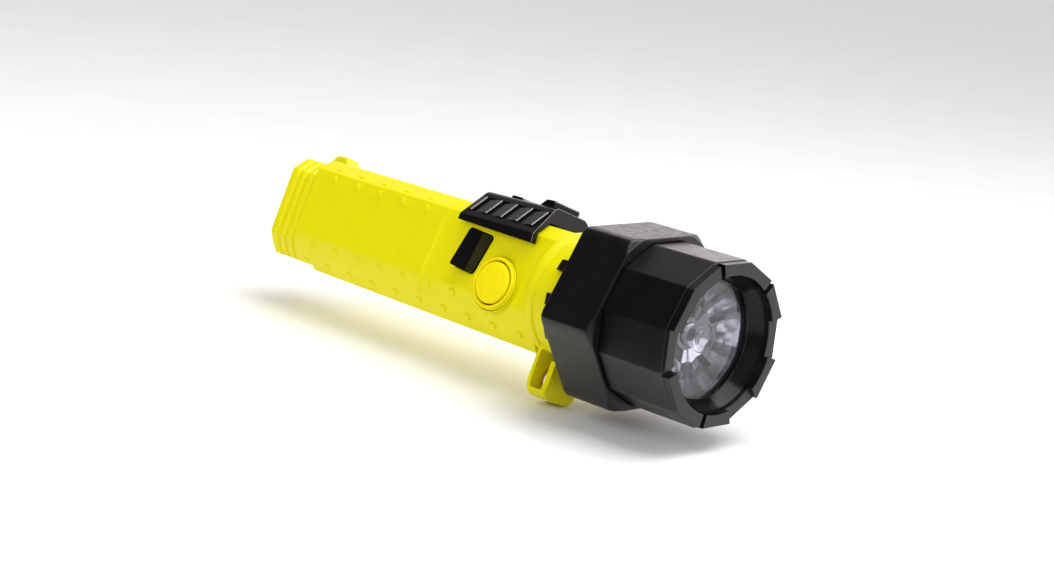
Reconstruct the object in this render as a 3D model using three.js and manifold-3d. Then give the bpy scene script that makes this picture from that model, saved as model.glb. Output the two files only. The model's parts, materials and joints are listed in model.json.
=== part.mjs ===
// A firefighter's flashlight, in millimetres.
// +X runs out of the head along the light's axis. Every x below is measured from the head's
// front plane, and the whole lamp is then moved so that its origin is on the tail's end face.
// The head lies on one flat of its six-sided collar, so +Z points out of the opposite flat.
// The handle is turned under the head, with its top HANDLE_TURN from +Z towards +Y.
import * as THREE from 'three';
import { mergeVertices } from 'three/addons/utils/BufferGeometryUtils.js';
import Module from 'manifold-3d';

const wasm = await Module();
wasm.setup();

// ---- driving dimensions -------------------------------------------------------------

const HANDLE_TURN = -19.2 * Math.PI / 180;
const FIT = 0.3;                    // clearance round a piece that is set in its neighbour
const ROUND = 48;                   // sides of a turned shape

const TAIL = -198.8;                // end face of the handle
const TAIL_WALL = 4.2;
const BAND_FRONT = -185.0;          // the ribbed tail band ends here
const DEEP_STEP = -177.0;           // the belly steps down here
const PANEL_FRONT = -117.0;         // the raised side panels end here
const COVE_REAR = -75.0;
const FLANGE_REAR = -65.5;
const NECK_SHOULDER = -50.0;
const NECK_FRONT = -31.0;

const SIDE = 13.9;                  // half width of the handle by the buttons
const PANEL_LIFT = 0.6;
const TOP = 18.9;
const BELLY = -20.0;
const BELLY_DROP = 0.011;           // how much deeper the belly gets per mm towards the head
const FLANGE_R = 20.5;
const NECK_R = 18.3;
const BORE_R = 16.9;

const HEAD_APOTHEM = 25.5;          // half across the flats of the head's front section
const COLLAR_APOTHEM = 27.0;
const COLLAR_REAR = -48.8;
const COLLAR_FRONT = -27.8;
const COLLAR_CORNER_R = 30.7;       // the collar's corners are turned down to this
const CROWN_LEDGE = -2.6;           // the teeth stand ahead of this small ledge
const CROWN_LOW = -1.5;             // front of the low teeth
const MOUTH_R = 21.5;
const APERTURE_R = 18.4;
const LENS_FRONT = -7.6;
const LENS_THICK = 2.9;
const OPTIC_FRONT = -11.4;
const OPTIC_REAR = -22.6;
const SLEEVE_R = 24.3;
const HEAD_BORE_R = 21.2;
const THREAD_R = 18.9;
const SLEEVE_REAR = -47.5;

const CELL_R = 7.1;
const CELL_LENGTH = 50.2;
const CELL_OFFSET = 7.4;            // the two rows of cells lie this far above and below
const PACK_Z = -0.9;
const CARRIER_REAR = -193.6;
const CARRIER_PLATE = 1.6;
const SPRING_ROOM = 2.2;

const BUTTON = { x: -84.2, z: -4.7 };
const BUTTON_R = 6.95;
const BUTTON_RING_R = 9.1;
const BUTTON_RING_FACE = -16.3;
const KEY = { rear: -104.4, front: -93.0, low: -3.7, high: 9.8 };
const KEY_SLANT = 0.075;            // the key's edges lean this much, as its rear end sits higher
const KEY_PIVOT = { y: -12.4, z: 7.6 };
const BOARD_FACE = -10.4;

const SADDLE = { rear: -108.2, front: -74.0 };
const SADDLE_TOP_HALF = 7.7;
const SADDLE_HALF = 17.0;
const SADDLE_RIDGE = 23.6;
const SADDLE_RISE = 0.026;          // the ridge rises this much per mm towards the head
const SADDLE_SLANT = 0.23;          // the front end leans back this much per mm of height
const SADDLE_KNEE = 13.6;           // height of the slopes' lower edges
const RIB_COUNT = 5;
const RIB_PITCH = 7.0;

const RAIL = { rear: -105.5, front: -77.8, half: 5.0, neckHalf: 3.0, under: 21.5, top: 22.2 };
const RAIL_SCREWS = [-101.0, -81.0];
const SCREW_R = 1.2;
const SCREW_HEAD_R = 2.2;
const GRIP_HALF = 6.5;              // half width of the slide's thumb stop and rear bump
const MAGNET = { rear: -84.5, front: -80.0, half: 4.0, low: 23.2, top: 24.9 };

const LUG = { rear: -63.4, front: -55.4, half: 8.4, low: -34.2, hole: -28.0, corner: 5.0 };
const EYELET_R = 3.1;
const TAB_R = { inner: 20.9, outer: 22.2 };
const TAB_REAR = -55.6;
const TAB_COUNT = 12;

// ---- turning three.js geometry into solids and back -----------------------------------

function toSolid(geometry) {
  const bare = geometry.clone();
  bare.deleteAttribute('normal');
  bare.deleteAttribute('uv');
  const merged = mergeVertices(bare, 1e-4);
  const at = merged.attributes.position;
  const index = merged.index.array;
  const triangles = [];
  let volume = 0;
  const corner = [new THREE.Vector3(), new THREE.Vector3(), new THREE.Vector3()];
  for (let i = 0; i < index.length; i += 3) {
    const [a, b, c] = [index[i], index[i + 1], index[i + 2]];
    if (a === b || b === c || c === a) continue;
    triangles.push(a, b, c);
    corner.forEach((point, k) => point.fromBufferAttribute(at, index[i + k]));
    volume += corner[0].dot(corner[1].clone().cross(corner[2]));
  }
  if (volume < 0) triangles.reverse();
  return new wasm.Manifold(new wasm.Mesh({
    numProp: 3,
    vertProperties: Float32Array.from(at.array),
    triVerts: Uint32Array.from(triangles),
  }));
}

function toGeometry(solid) {
  const mesh = solid.getMesh();
  const geometry = new THREE.BufferGeometry();
  geometry.setAttribute('position', new THREE.Float32BufferAttribute(mesh.vertProperties, 3));
  geometry.setIndex(new THREE.Uint32BufferAttribute(mesh.triVerts, 1));
  geometry.computeVertexNormals();
  return geometry;
}

function join(...solids) {
  return solids.reduce((sum, solid) => sum.add(solid));
}

function cut(base, ...tools) {
  return tools.reduce((rest, tool) => rest.subtract(tool), base);
}

// ---- basic shapes -------------------------------------------------------------------

function shapeOf(points) {
  return new THREE.Shape(points.map(([u, v]) => new THREE.Vector2(u, v)));
}

function extrude(shape, depth, curveSegments = 8) {
  return new THREE.ExtrudeGeometry(shape, { depth, bevelEnabled: false, curveSegments });
}

// An outline given as [y, z] points, run along X.
function prismX(points, x0, x1, bend = null) {
  const basis = new THREE.Matrix4().makeBasis(
    new THREE.Vector3(0, 1, 0), new THREE.Vector3(0, 0, 1), new THREE.Vector3(1, 0, 0));
  const shape = points instanceof THREE.Shape ? points : shapeOf(points);
  const geometry = extrude(shape, x1 - x0).applyMatrix4(basis).translate(x0, 0, 0);
  if (bend) bendPoints(geometry, bend);
  return toSolid(geometry);
}

// An outline given as [x, z] points, run along Y.
function prismY(points, y0, y1) {
  const basis = new THREE.Matrix4().makeBasis(
    new THREE.Vector3(1, 0, 0), new THREE.Vector3(0, 0, 1), new THREE.Vector3(0, -1, 0));
  const shape = points instanceof THREE.Shape ? points : shapeOf(points);
  return toSolid(extrude(shape, y1 - y0).applyMatrix4(basis).translate(0, y1, 0));
}

function bendPoints(geometry, bend) {
  const at = geometry.attributes.position;
  for (let i = 0; i < at.count; i += 1) {
    const point = new THREE.Vector3().fromBufferAttribute(at, i);
    bend(point);
    at.setXYZ(i, point.x, point.y, point.z);
  }
}

function box(x0, x1, y0, y1, z0, z1) {
  const geometry = new THREE.BoxGeometry(x1 - x0, y1 - y0, z1 - z0);
  return toSolid(geometry.translate((x0 + x1) / 2, (y0 + y1) / 2, (z0 + z1) / 2));
}

// A turned shape: profile points are [x, r], from axis to axis or closed on itself.
function turned(profile, sides = ROUND) {
  const points = profile.map(([x, r]) => new THREE.Vector2(r, x));
  return toSolid(new THREE.LatheGeometry(points, sides).rotateZ(-Math.PI / 2));
}

function discX(r, x0, x1, y = 0, z = 0, sides = ROUND) {
  const geometry = new THREE.CylinderGeometry(r, r, x1 - x0, sides).rotateZ(Math.PI / 2);
  return toSolid(geometry.translate((x0 + x1) / 2, y, z));
}

function discY(r, y0, y1, x, z, sides = ROUND) {
  const geometry = new THREE.CylinderGeometry(r, r, y1 - y0, sides);
  return toSolid(geometry.translate(x, (y0 + y1) / 2, z));
}

function discZ(r, z0, z1, x, y, sides = ROUND) {
  const geometry = new THREE.CylinderGeometry(r, r, z1 - z0, sides).rotateX(Math.PI / 2);
  return toSolid(geometry.translate(x, y, (z0 + z1) / 2));
}

function tubeX(inner, outer, x0, x1, sides = ROUND) {
  return turned([[x0, inner], [x1, inner], [x1, outer], [x0, outer], [x0, inner]], sides);
}

// A ring lying round a line along Y, like the collar of the push button.
function ringY(inner, outer, y0, y1, x, z) {
  return cut(discY(outer, y0, y1, x, z), discY(inner, y0 - 1, y1 + 1, x, z));
}

// A regular prism along X; turn is the angle of its first flat from +Z.
function flats(count, apothem, x0, x1, turn = 0) {
  const radius = apothem / Math.cos(Math.PI / count);
  const points = [];
  for (let i = 0; i < count; i += 1) {
    const angle = turn + (i + 0.5) * 2 * Math.PI / count;
    points.push([radius * Math.sin(angle), radius * Math.cos(angle)]);
  }
  return prismX(points, x0, x1);
}

// A compression spring with its coils round a line along X.
function coilX(radius, wire, x0, x1, turns, y, z) {
  class Helix extends THREE.Curve {
    getPoint(t, target = new THREE.Vector3()) {
      const angle = t * turns * 2 * Math.PI;
      return target.set(
        x0 + wire + t * (x1 - x0 - 2 * wire),
        y + radius * Math.cos(angle),
        z + radius * Math.sin(angle));
    }
  }
  const section = new THREE.Shape().absarc(0, 0, wire, 0, 2 * Math.PI);
  return toSolid(new THREE.ExtrudeGeometry(section, {
    steps: turns * 10, curveSegments: 3, bevelEnabled: false, extrudePath: new Helix(),
  }));
}

// ---- materials ----------------------------------------------------------------------

const paint = (color, roughness, metalness = 0) => () =>
  new THREE.MeshStandardMaterial({ color, roughness, metalness });
const yellowPlastic = paint(0xe6dc00, 0.45);
const blackPlastic = paint(0x1c191a, 0.4);
const blackRubber = paint(0x141313, 0.7);
const greyPlastic = paint(0x77797c, 0.5);
const clearPlastic = paint(0xdfe4ea, 0.08);
const steel = paint(0xb9bcc0, 0.3, 1);
const brass = paint(0xb08a3c, 0.35, 1);
const aluminium = paint(0xa9adb2, 0.4, 1);
const circuitBoard = paint(0x1f5b34, 0.6);
const cellSleeve = paint(0x2d3a45, 0.35);
const phosphor = paint(0xe8c545, 0.5);

function part(name, solid, material) {
  const mesh = new THREE.Mesh(toGeometry(solid), material());
  mesh.name = name;
  return mesh;
}

// ---- handle shell -------------------------------------------------------------------

// The ten-sided outline of the handle, as [y, z] points, given by its half widths and heights.
function handleOutline({ side, top, sideTop, sideLow, knee, low, topHalf, lowHalf }) {
  const right = [[topHalf, top], [side, sideTop], [side, sideLow], knee, [lowHalf, low]];
  const left = right.map(([y, z]) => [-y, z]).reverse();
  return [...right, ...left];
}

const bodyOutline = (side) => handleOutline({
  side, top: TOP, sideTop: 14.3, sideLow: -9.85, knee: [side - 2.8, -15.4], low: BELLY,
  topHalf: 9.0, lowHalf: 7.0,
});

const tailOutline = (inset) => handleOutline({
  side: 13.8 - inset, top: 17.0 - inset, sideTop: 11.8 - inset / 2, sideLow: -11.6,
  knee: [11.8 - inset, -14.9 + inset / 2], low: -18.6 + inset, topHalf: 8.8, lowHalf: 8.2,
});

// Points under the middle sink towards the head, so the belly gets deeper.
function deepen(point) {
  if (point.z < -18) point.z -= BELLY_DROP * (point.x - DEEP_STEP);
}

function tailBand() {
  const groove = 1.4;
  const pitch = 4.05;
  const band = prismX(tailOutline(0.8), TAIL, BAND_FRONT);
  const ridges = [0, 1, 2].map((i) => {
    const front = BAND_FRONT - 0.6 - i * pitch - groove;
    return prismX(tailOutline(0), Math.max(front - pitch + groove, TAIL), front);
  });
  return join(band, ...ridges);
}

function neckProfile() {
  const cove = [];
  for (let i = 0; i <= 8; i += 1) {
    const angle = i / 8 * Math.PI / 2;
    cove.push([
      COVE_REAR + (FLANGE_REAR - COVE_REAR) * Math.sin(angle),
      FLANGE_R - 0.4 - (FLANGE_R - 0.4 - SIDE + 0.4) * Math.cos(angle),
    ]);
  }
  return [
    [COVE_REAR, 0], ...cove,
    [FLANGE_REAR + 0.4, FLANGE_R], [FLANGE_REAR + 2.9, FLANGE_R],
    [FLANGE_REAR + 3.1, FLANGE_R - 0.9], [FLANGE_REAR + 4.3, FLANGE_R - 0.9],
    [FLANGE_REAR + 4.5, FLANGE_R], [NECK_SHOULDER, FLANGE_R],
    [NECK_SHOULDER, NECK_R], [NECK_FRONT, NECK_R], [NECK_FRONT, 0],
  ];
}

// A loop under the neck: two walls joined at the foot, with a strap window between them.
function lanyardLug() {
  const { rear, front, half, low, corner } = LUG;
  const outline = new THREE.Shape();
  outline.moveTo(-half, -12);
  outline.lineTo(-half, low + corner);
  outline.absarc(-half + corner, low + corner, corner, Math.PI, 1.5 * Math.PI);
  outline.absarc(half - corner, low + corner, corner, 1.5 * Math.PI, 2 * Math.PI);
  outline.lineTo(half, -12);
  const strapWindow = box(rear + 2.4, front - 2.0, -12, 12, low + 2.6, -FLANGE_R + 1.5);
  const tabRoom = tubeX(FLANGE_R, TAB_R.outer + 0.7, TAB_REAR - 1.8, front + 1);
  const eyeletHole = discX(EYELET_R + FIT, rear - 1, rear + 3.0, 0, LUG.hole, 32);
  return cut(prismX(outline, rear, front), strapWindow, tabRoom, eyeletHole);
}

function eyelet() {
  const ring = tubeX(EYELET_R - 0.7, EYELET_R, LUG.rear - 0.3, LUG.rear + 2.7, 32);
  return ring.translate([0, 0, LUG.hole]);
}

// A hump on top of the tail, as [x, z] points.
function tailNub() {
  const nub = [[-194, 14], [-193, 18.4], [-190.2, 21.6], [-186, 21.8], [-183, 18.6], [-182.5, 14]];
  return prismY(nub, -3.2, 3.2);
}

function handleOuter() {
  const shallow = bodyOutline(SIDE + PANEL_LIFT).map(([y, z]) => [y, Math.max(z, -18.7)]);
  return join(
    tailBand(),
    prismX(shallow, BAND_FRONT, DEEP_STEP),
    prismX(bodyOutline(SIDE + PANEL_LIFT), DEEP_STEP, PANEL_FRONT, deepen),
    prismX(bodyOutline(SIDE), PANEL_FRONT - 1, FLANGE_REAR + 1, deepen),
    turned(neckProfile(), 60),
    discY(BUTTON_RING_R, BUTTON_RING_FACE + 1.3, -8, BUTTON.x, BUTTON.z),
    tailNub(),
    lanyardLug(),
  );
}

function handleCavity() {
  const inner = (top, low) => handleOutline({
    side: 11.7, top, sideTop: top - 4.4, sideLow: -9.0, knee: [9.4, -13.8], low,
    topHalf: 7.2, lowHalf: 5.6,
  });
  return join(
    prismX(inner(14.6, -16.6), TAIL + TAIL_WALL, BAND_FRONT + 2),
    prismX(inner(17.3, -16.8), BAND_FRONT + 1, FLANGE_REAR + 3.5),
    discX(BORE_R, FLANGE_REAR + 3, NECK_FRONT + 1),
  );
}

// The key's slanted outline, as [x, z] points, grown by a margin.
function keyFace(margin) {
  const middle = { x: (KEY.rear + KEY.front) / 2, z: (KEY.low + KEY.high) / 2 };
  const halfLength = (KEY.front - KEY.rear) / 2 + margin;
  const halfHeight = (KEY.high - KEY.low) / 2 + margin;
  return [[-1, -1], [1, -1], [1, 1], [-1, 1]].map(([u, v]) => [
    middle.x + u * halfLength + v * halfHeight * KEY_SLANT,
    middle.z + v * halfHeight - u * halfLength * KEY_SLANT,
  ]);
}

function switchOpenings() {
  return [
    discY(BUTTON_R + 0.4, BUTTON_RING_FACE - 1, -8, BUTTON.x, BUTTON.z),
    prismY(keyFace(0.4), -20, -8),
    discX(0.8 + FIT, KEY.rear - 1.9, KEY.front + 1.9, KEY_PIVOT.y, KEY_PIVOT.z, 20),
  ];
}

function bodyShell() {
  const screwHoles = RAIL_SCREWS.map((x) => discZ(SCREW_R + FIT, TOP - 0.9, TOP + 1, x, 0, 20));
  return cut(handleOuter(), handleCavity(), ...switchOpenings(), ...screwHoles);
}

// ---- push button, key and slide -------------------------------------------------------

function buttonRing() {
  const rest = BUTTON_RING_FACE + 1.3 - FIT;
  return ringY(BUTTON_R + 0.5, BUTTON_RING_R - 0.3, BUTTON_RING_FACE, rest, BUTTON.x, BUTTON.z);
}

function buttonCap() {
  const profile = [new THREE.Vector2(0, 0), new THREE.Vector2(BUTTON_R, 0)];
  for (let i = 0; i < 4; i += 1) {
    const angle = i / 4 * Math.PI / 2;
    profile.push(new THREE.Vector2(BUTTON_R * Math.cos(angle), 2.6 + 1.2 * Math.sin(angle)));
  }
  profile.push(new THREE.Vector2(0, 3.8));
  const geometry = new THREE.LatheGeometry(profile, ROUND).rotateX(Math.PI);
  return toSolid(geometry.translate(BUTTON.x, -13.7, BUTTON.z));
}

function buttonPlunger() {
  return join(
    discY(5.0, -13.6, -12.9, BUTTON.x, BUTTON.z, 32),
    discY(1.6, -12.9, -12.5, BUTTON.x, BUTTON.z, 24),
  );
}

// A rocker: its face leans outwards towards the bottom, and it is hinged near its top edge.
function keyCap() {
  const pivotHole = discX(0.8 + FIT, KEY.rear - 2, KEY.front + 2, KEY_PIVOT.y, KEY_PIVOT.z, 20);
  const side = [[-12.6, KEY.low - 1], [-17.5, KEY.low - 1], [-14.1, KEY.high + 1],
    [-12.0, KEY.high + 1], [-10.9, 8.6], [-10.9, 6.6], [-12.6, 5.4]];
  const body = prismX(side, KEY.rear - 1, KEY.front + 1);
  return cut(body.intersect(prismY(keyFace(0), -20, -8)), pivotHole);
}

function tactSwitch(x, z, outer) {
  const half = 2.2;
  return box(x - half, x + half, outer, BOARD_FACE - 0.05, z - half, z + half);
}

// Lifts the ridge towards the head, and leans the front end back.
function shapeSaddle(point) {
  if (point.x > SADDLE.front - 1) point.x -= SADDLE_SLANT * (point.z - SADDLE_KNEE);
  if (point.z > 18) point.z += SADDLE_RISE * (point.x - SADDLE.rear);
}

// A flat ridge, two slopes and short skirts, hollow underneath to clear the handle's top.
function saddleOutline() {
  const right = [[SADDLE_TOP_HALF, SADDLE_RIDGE], [SADDLE_HALF, SADDLE_KNEE], [SADDLE_HALF, 11.4],
    [14.5, 11.4], [14.5, 14.7], [9.3, 20.3]];
  const left = right.map(([y, z]) => [-y, z]).reverse();
  return [...right, ...left];
}

// Raised bars across both slopes, for a gloved thumb and finger.
function saddleRibs() {
  const ribs = [];
  const along = new THREE.Vector2(SADDLE_HALF - SADDLE_TOP_HALF, -10).normalize();
  const out = new THREE.Vector2(-along.y, along.x);
  for (let i = 0; i < RIB_COUNT; i += 1) {
    const front = SADDLE.front - 3.6 - i * RIB_PITCH;
    const ridge = SADDLE_RIDGE + SADDLE_RISE * (front - SADDLE.rear);
    const at = (run, lift) => [
      SADDLE_TOP_HALF + along.x * run + out.x * lift,
      ridge + along.y * run + out.y * lift,
    ];
    const near = [at(2.8, -0.6), at(2.8, 0.6), at(11.0, 0.6), at(11.0, -0.6)];
    ribs.push(prismX(near, front - 1.2, front));
    ribs.push(prismX(near.map(([y, z]) => [-y, z]), front - 1.2, front));
  }
  return ribs;
}

// The slide, with its thumb stop and rear bump, and a T-slot underneath that runs on the rail.
function slideSaddle() {
  const thumbStop = [[-85.2, 22], [-85.2, 24.9], [-83.2, 26.9], [-79.2, 27.1], [-79.2, 22]];
  const bump = [[-98.6, 22], [-98.6, 24.4], [-97.9, 25.0], [-93.9, 25.1], [-93.2, 24.6], [-93.2, 22]];
  const slotFront = RAIL.front + 0.4;
  const slot = join(
    box(SADDLE.rear - 1, slotFront, -RAIL.neckHalf - 0.4, RAIL.neckHalf + 0.4, 20, RAIL.under),
    box(SADDLE.rear - 1, slotFront, -RAIL.half - 0.4, RAIL.half + 0.4, RAIL.under - 0.4, RAIL.top + 0.4),
    box(MAGNET.rear - FIT, MAGNET.front + FIT, -MAGNET.half - FIT, MAGNET.half + FIT,
      RAIL.top, MAGNET.top + FIT),
  );
  const raised = join(
    prismX(saddleOutline(), SADDLE.rear, SADDLE.front, shapeSaddle),
    prismY(thumbStop, -GRIP_HALF, GRIP_HALF),
    prismY(bump, -GRIP_HALF, GRIP_HALF),
    ...saddleRibs(),
  );
  return cut(raised, slot);
}

function slideRail() {
  const screwHoles = RAIL_SCREWS.flatMap((x) => [
    discZ(SCREW_R + FIT, TOP, RAIL.top + 1, x, 0, 20),
    discZ(SCREW_HEAD_R + FIT, RAIL.top - 0.9, RAIL.top + 1, x, 0, 20),
  ]);
  const neck = box(RAIL.rear, RAIL.front, -RAIL.neckHalf, RAIL.neckHalf, TOP + FIT, RAIL.under + 0.1);
  const head = box(RAIL.rear, RAIL.front, -RAIL.half, RAIL.half, RAIL.under, RAIL.top);
  return cut(join(neck, head), ...screwHoles);
}

function railScrew(x) {
  const headLow = RAIL.top - 0.6;
  return join(
    discZ(SCREW_R, TOP - 0.6, headLow + 0.1, x, 0, 20),
    discZ(SCREW_HEAD_R, headLow, RAIL.top - 0.1, x, 0, 20),
  );
}

// ---- battery pack -------------------------------------------------------------------

const cellFronts = [
  CARRIER_REAR + CARRIER_PLATE + SPRING_ROOM + CELL_LENGTH,
  CARRIER_REAR + 2 * CARRIER_PLATE + 2 * SPRING_ROOM + 2 * CELL_LENGTH,
];
const CARRIER_FRONT = cellFronts[1] + CARRIER_PLATE + SPRING_ROOM;
const rowHeights = [PACK_Z + CELL_OFFSET, PACK_Z - CELL_OFFSET];

function cell(front, z) {
  const rear = front - CELL_LENGTH;
  return turned([[rear, 0], [rear, CELL_R - 0.6], [rear + 0.6, CELL_R], [front - 1.6, CELL_R],
    [front - 1.0, CELL_R - 0.8], [front - 1.0, 2.7], [front, 2.6], [front, 0]], 24).translate([0, 0, z]);
}

// Three end plates on a spine at the cells' far side.
function batteryCarrier() {
  const below = [[-6.6, -12.6], [-4.4, -14.2], [5.0, -14.2], [9.2, -10]];
  const above = below.map(([y, z]) => [y, -z]).reverse();
  const plate = [...below, ...above].map(([y, z]) => [y, PACK_Z + z]);
  const middle = cellFronts[0] + SPRING_ROOM / 2;
  return join(
    prismX(plate, CARRIER_REAR, CARRIER_REAR + CARRIER_PLATE),
    prismX(plate, middle, middle + CARRIER_PLATE),
    prismX(plate, CARRIER_FRONT - CARRIER_PLATE, CARRIER_FRONT),
    box(CARRIER_REAR, CARRIER_FRONT, 7.5, 9.2, PACK_Z - 10, PACK_Z + 10),
  );
}

// A thin sprung plate lying just in front of x.
function contactPlate(x, low, high) {
  return box(x + 0.05, x + 0.45, -3.6, 3.6, PACK_Z + low, PACK_Z + high);
}

// ---- light module -------------------------------------------------------------------

// The side of the optic, from its narrow rear to its wide front, grown outwards by gap.
function opticWall(gap) {
  const wall = [];
  for (let i = 0; i <= 5; i += 1) {
    const share = i / 5;
    const x = OPTIC_REAR + (OPTIC_FRONT - 0.6 - OPTIC_REAR) * share;
    wall.push([x, 7.0 + gap + 11.2 * Math.sqrt(share)]);
  }
  return wall;
}

function optic() {
  return turned([[OPTIC_REAR + 1.4, 0], [OPTIC_REAR + 1.4, 3.6], [OPTIC_REAR, 4.0], ...opticWall(0),
    [OPTIC_FRONT, 18.2], [OPTIC_FRONT, 0]], 36);
}

function opticHolder() {
  return turned([[OPTIC_REAR - 0.2, 7.4], ...opticWall(0.4), [OPTIC_FRONT - 0.4, 18.6],
    [OPTIC_FRONT - 0.4, 20.6], [-30.2, 20.6], [-30.2, 19.0], [-25.4, 14.2], [-23.2, 7.8],
    [OPTIC_REAR - 0.2, 7.4]], 36);
}

function heatSink() {
  const fins = [];
  for (let i = 0; i < 3; i += 1) {
    fins.push(tubeX(15.0, 17, -46.0 + i * 4.6, -43.8 + i * 4.6, 32));
  }
  const profile = [[-52, 0], [-52, 16.4], [-30.6, 16.4], [-30.6, 17.9], [-29.6, 17.6],
    [-25.7, 13.2], [-25.7, 0]];
  return cut(turned(profile, 32), ...fins);
}

const CUP_REAR = -75.6;

function driverCup() {
  return turned([[CUP_REAR, 0], [CUP_REAR, 10.4], [-54.3, 11.2], [-54.3, 0]], 32);
}

function moduleSpring(z) {
  return coilX(2.2, 0.4, CARRIER_FRONT + 0.6, CUP_REAR - 0.2, 4, 0, z);
}

// ---- head ---------------------------------------------------------------------------

// Twelve crown teeth, counted from the top flat towards +Y: true stands tall.
const tallTeeth = [true, true, true, false, true, false, true, true, true, false, true, true];
const notchedCorners = [1, 6, 8, 11];
const FLAT_STEP = Math.PI / 6;

function crownCuts() {
  const cuts = [];
  tallTeeth.forEach((tall, k) => {
    if (tall) return;
    const half = (HEAD_APOTHEM + 3) * Math.tan(FLAT_STEP / 2);
    const wedge = prismX([[0, 0], [-half, HEAD_APOTHEM + 3], [half, HEAD_APOTHEM + 3]], CROWN_LOW, 1);
    cuts.push(wedge.rotate([-k * 30, 0, 0]));
  });
  notchedCorners.forEach((k) => {
    const slot = box(-2.4, 1, -0.9, 0.9, 15, 30);
    cuts.push(slot.rotate([-(k + 0.5) * 30, 0, 0]));
  });
  return cuts;
}

function headBezel() {
  const outer = join(
    flats(12, HEAD_APOTHEM, COLLAR_FRONT - 0.6, CROWN_LEDGE),
    flats(12, HEAD_APOTHEM - 0.35, CROWN_LEDGE - 0.2, 0),
    discX(SLEEVE_R, SLEEVE_REAR, COLLAR_FRONT),
  );
  const inner = turned([[1, 0], [1, MOUTH_R], [CROWN_LEDGE, MOUTH_R], [-4.6, 20.4],
    [LENS_FRONT, APERTURE_R], [LENS_FRONT, HEAD_BORE_R], [-30.5, HEAD_BORE_R], [-32, THREAD_R],
    [SLEEVE_REAR - 1, THREAD_R], [SLEEVE_REAR - 1, 0]]);
  return cut(outer, inner, ...crownCuts());
}

function hexCollar() {
  const rounding = discX(COLLAR_CORNER_R, COLLAR_REAR, COLLAR_FRONT, 0, 0, 72);
  const edge = turned([[COLLAR_REAR, 0], [COLLAR_REAR, 31], [COLLAR_FRONT - 1.6, 31],
    [COLLAR_FRONT, 28.6], [COLLAR_FRONT, 0]], 72);
  const hex = flats(6, COLLAR_APOTHEM, COLLAR_REAR, COLLAR_FRONT);
  const bore = discX(SLEEVE_R + 0.1, COLLAR_REAR - 1, COLLAR_FRONT - 0.7);
  const socket = flats(12, HEAD_APOTHEM + 0.1, COLLAR_FRONT - 0.7, COLLAR_FRONT + 1);
  return cut(hex.intersect(rounding).intersect(edge), bore, socket);
}

function frontLens() {
  const front = LENS_FRONT - 0.1;
  return discX(20.6, front - LENS_THICK, front);
}

// The ring that holds the head on the neck, with its tabs reaching back over the flange.
function lockRing() {
  const tabs = [];
  const room = tubeX(TAB_R.inner, TAB_R.outer, TAB_REAR - 1, -48);
  for (let i = 0; i < TAB_COUNT; i += 1) {
    const tab = box(TAB_REAR, -48.4, -1.9, 1.9, 20, 23).intersect(room);
    tabs.push(tab.rotate([21 + i * 360 / TAB_COUNT, 0, 0]));
  }
  return join(tubeX(TAB_R.inner, SLEEVE_R - 0.1, -49.3, SLEEVE_REAR - 0.1), ...tabs);
}

// ---- assembly -----------------------------------------------------------------------

const torch = new THREE.Group();
torch.position.x = -TAIL;

const handle = new THREE.Group();
handle.rotation.x = HANDLE_TURN;
torch.add(handle);

handle.add(
  part('body_shell', bodyShell(), yellowPlastic),
  part('lanyard_eyelet', eyelet(), brass),
  part('neck_seal', tubeX(18.6, 20.2, NECK_SHOULDER + FIT, NECK_SHOULDER + 1.9, 32), blackRubber),
  part('button_ring', buttonRing(), yellowPlastic),
  part('button_cap', buttonCap(), yellowPlastic),
  part('button_plunger', buttonPlunger(), greyPlastic),
  part('button_switch', tactSwitch(BUTTON.x, BUTTON.z, -11.2), blackPlastic),
  part('key_cap', keyCap(), blackPlastic),
  part('key_pin', discX(0.8, KEY.rear - 1.5, KEY.front + 1.5, KEY_PIVOT.y, KEY_PIVOT.z, 20), steel),
  part('key_switch', tactSwitch(-99, -0.4, -11.1), blackPlastic),
  part('switch_board', box(-108, -76.4, BOARD_FACE, BOARD_FACE + 1, -8.4, 4.6), circuitBoard),
  part('slide_saddle', slideSaddle(), blackPlastic),
  part('slide_magnet', box(MAGNET.rear, MAGNET.front, -MAGNET.half, MAGNET.half, MAGNET.low,
    MAGNET.top), steel),
  part('slide_rail', slideRail(), blackPlastic),
  ...RAIL_SCREWS.map((x, i) => part(`rail_screw_${i + 1}`, railScrew(x), steel)),
  part('reed_board', box(-100, -72, -5, 5, 15.8, 16.6), circuitBoard),
  part('reed_switch', discX(0.9, -90, -76, 0, 14.8, 16), clearPlastic),
);

handle.add(
  part('battery_carrier', batteryCarrier(), greyPlastic),
  ...rowHeights.flatMap((z, row) => cellFronts.map((front, i) =>
    part(`cell_${2 * row + i + 1}`, cell(front, z), cellSleeve))),
  part('rear_bus', contactPlate(CARRIER_REAR + CARRIER_PLATE, -11, 11), steel),
  part('front_contact', contactPlate(CARRIER_FRONT, 3, 11), steel),
  part('return_contact', contactPlate(CARRIER_FRONT, -11, -3), steel),
);

const lightModule = new THREE.Group();
lightModule.rotation.x = HANDLE_TURN;
torch.add(lightModule);
lightModule.add(
  part('tir_optic', optic(), clearPlastic),
  part('optic_holder', opticHolder(), greyPlastic),
  part('led_emitter', box(-24.1, -22.9, -2.4, 2.4, -2.4, 2.4), phosphor),
  part('led_board', discX(6.8, -25.4, -24.2, 0, 0, 32), circuitBoard),
  part('heat_sink', heatSink(), aluminium),
  part('driver_board', discX(11.2, -53.9, -52.4, 0, 0, 32), circuitBoard),
  part('driver_cup', driverCup(), blackPlastic),
  part('supply_spring', moduleSpring(6.2), steel),
  part('return_spring', moduleSpring(-6.8), steel),
);

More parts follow.
